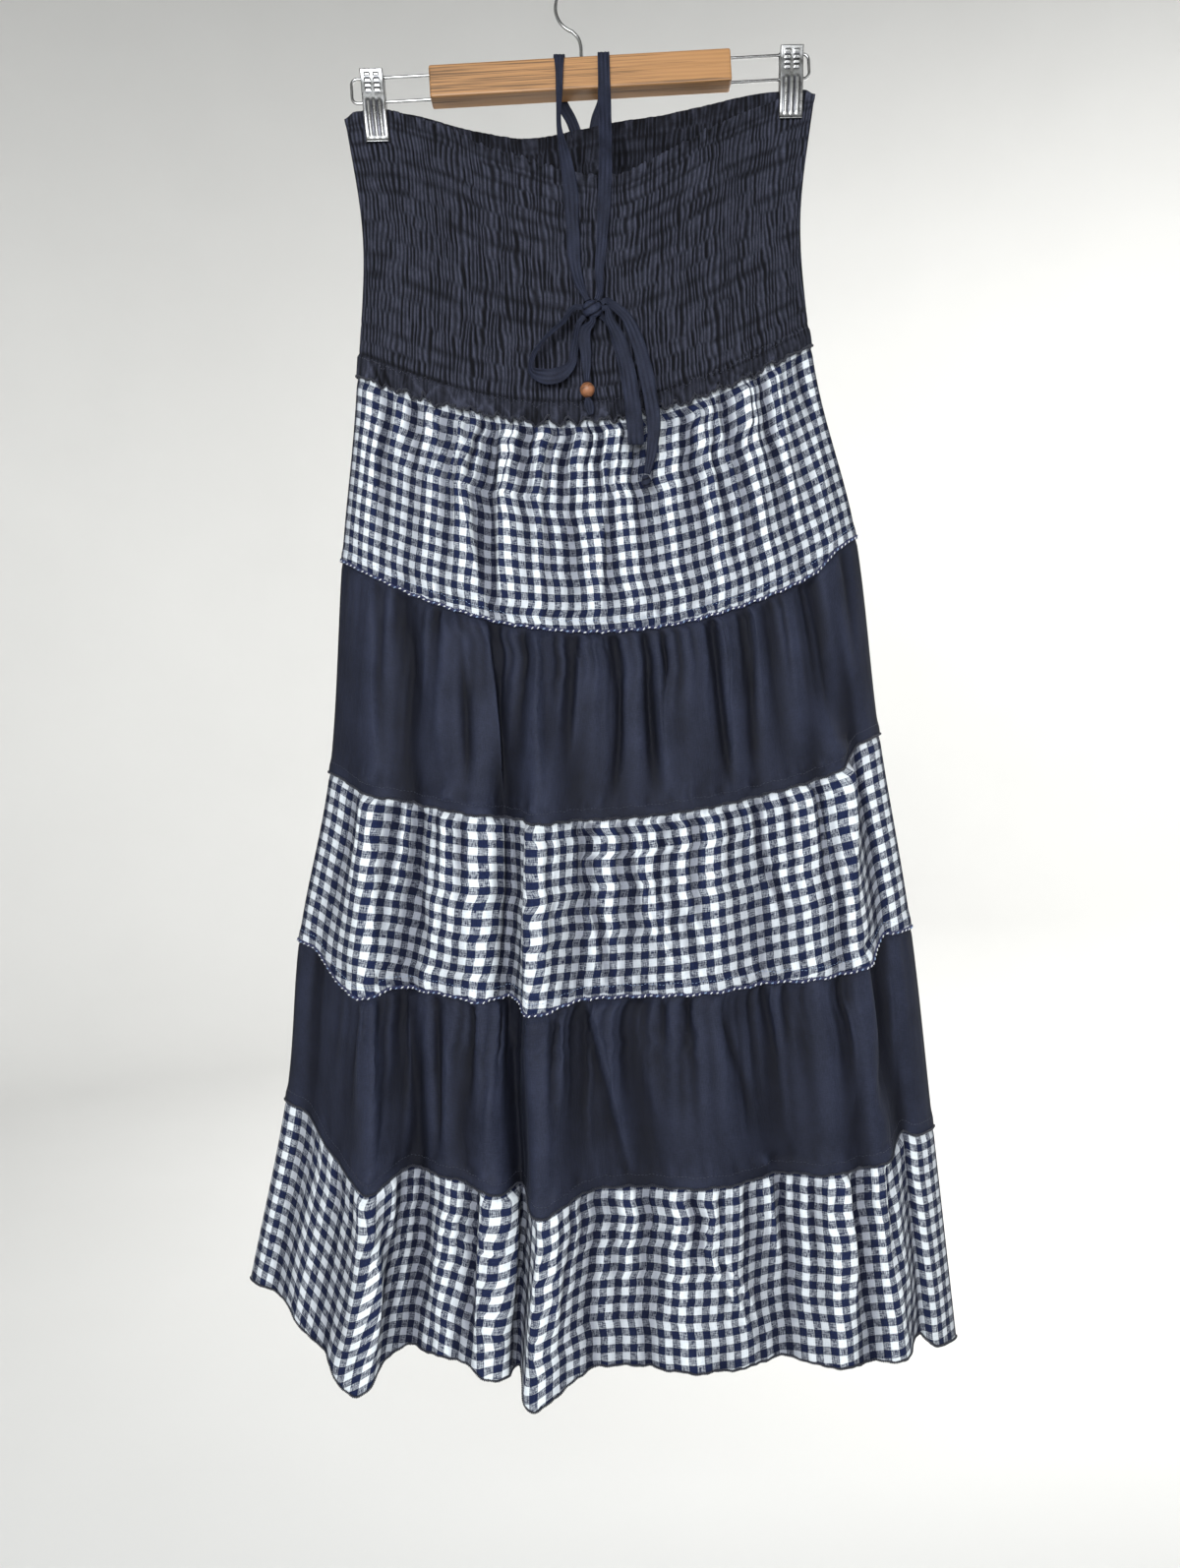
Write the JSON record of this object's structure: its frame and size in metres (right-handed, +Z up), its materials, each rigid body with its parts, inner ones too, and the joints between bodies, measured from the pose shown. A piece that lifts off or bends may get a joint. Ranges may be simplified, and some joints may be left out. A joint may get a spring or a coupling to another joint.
{
  "type": "halter dress on a clip hanger",
  "caption": "Strapless shirred halter dress with a tiered gingham and navy skirt, tied in a bow over the wooden clip hanger that holds it.",
  "frame": {"origin": "inside top of the hanger's hook, where a rail bears", "axes": "+Z up, +X to the right as seen from the front, +Y from the front towards the back"},
  "size_m": [0.608, 0.1604, 1.1769],
  "materials": {
    "shirred_navy": "matt crinkled cotton",
    "plain_navy": "soft satin cotton",
    "gingham": "woven check, white and navy",
    "tie_cloth": "folded cotton strip",
    "bar_wood": "satin varnish",
    "bead_wood": "polished",
    "bright_metal": "bright plate"
  },
  "bodies": {
    "root": {"hanger_bar": "bar_wood", "hook": "bright_metal", "arm_left": "bright_metal", "clip_left_body": "bright_metal", "clip_left_front_jaw": "bright_metal", "clip_left_back_jaw": "bright_metal", "arm_right": "bright_metal", "clip_right_body": "bright_metal", "clip_right_front_jaw": "bright_metal", "clip_right_back_jaw": "bright_metal", "bodice_front": "shirred_navy", "bodice_back": "shirred_navy", "tier_1_front": "gingham", "tier_1_back": "gingham", "tier_2_front": "plain_navy", "tier_2_back": "plain_navy", "tier_3_front": "gingham", "tier_3_back": "gingham", "tier_4_front": "plain_navy", "tier_4_back": "plain_navy", "tier_5_front": "gingham", "tier_5_back": "gingham", "tie_left": "tie_cloth", "tie_right": "tie_cloth", "bow_knot": "tie_cloth", "bow_loop_left": "tie_cloth", "bow_loop_right": "tie_cloth", "tail_left": "tie_cloth", "tail_left_end": "tie_cloth", "tail_right": "tie_cloth", "tail_right_knot": "tie_cloth", "tail_left_bead": "bead_wood"}
  },
  "joints": []
}
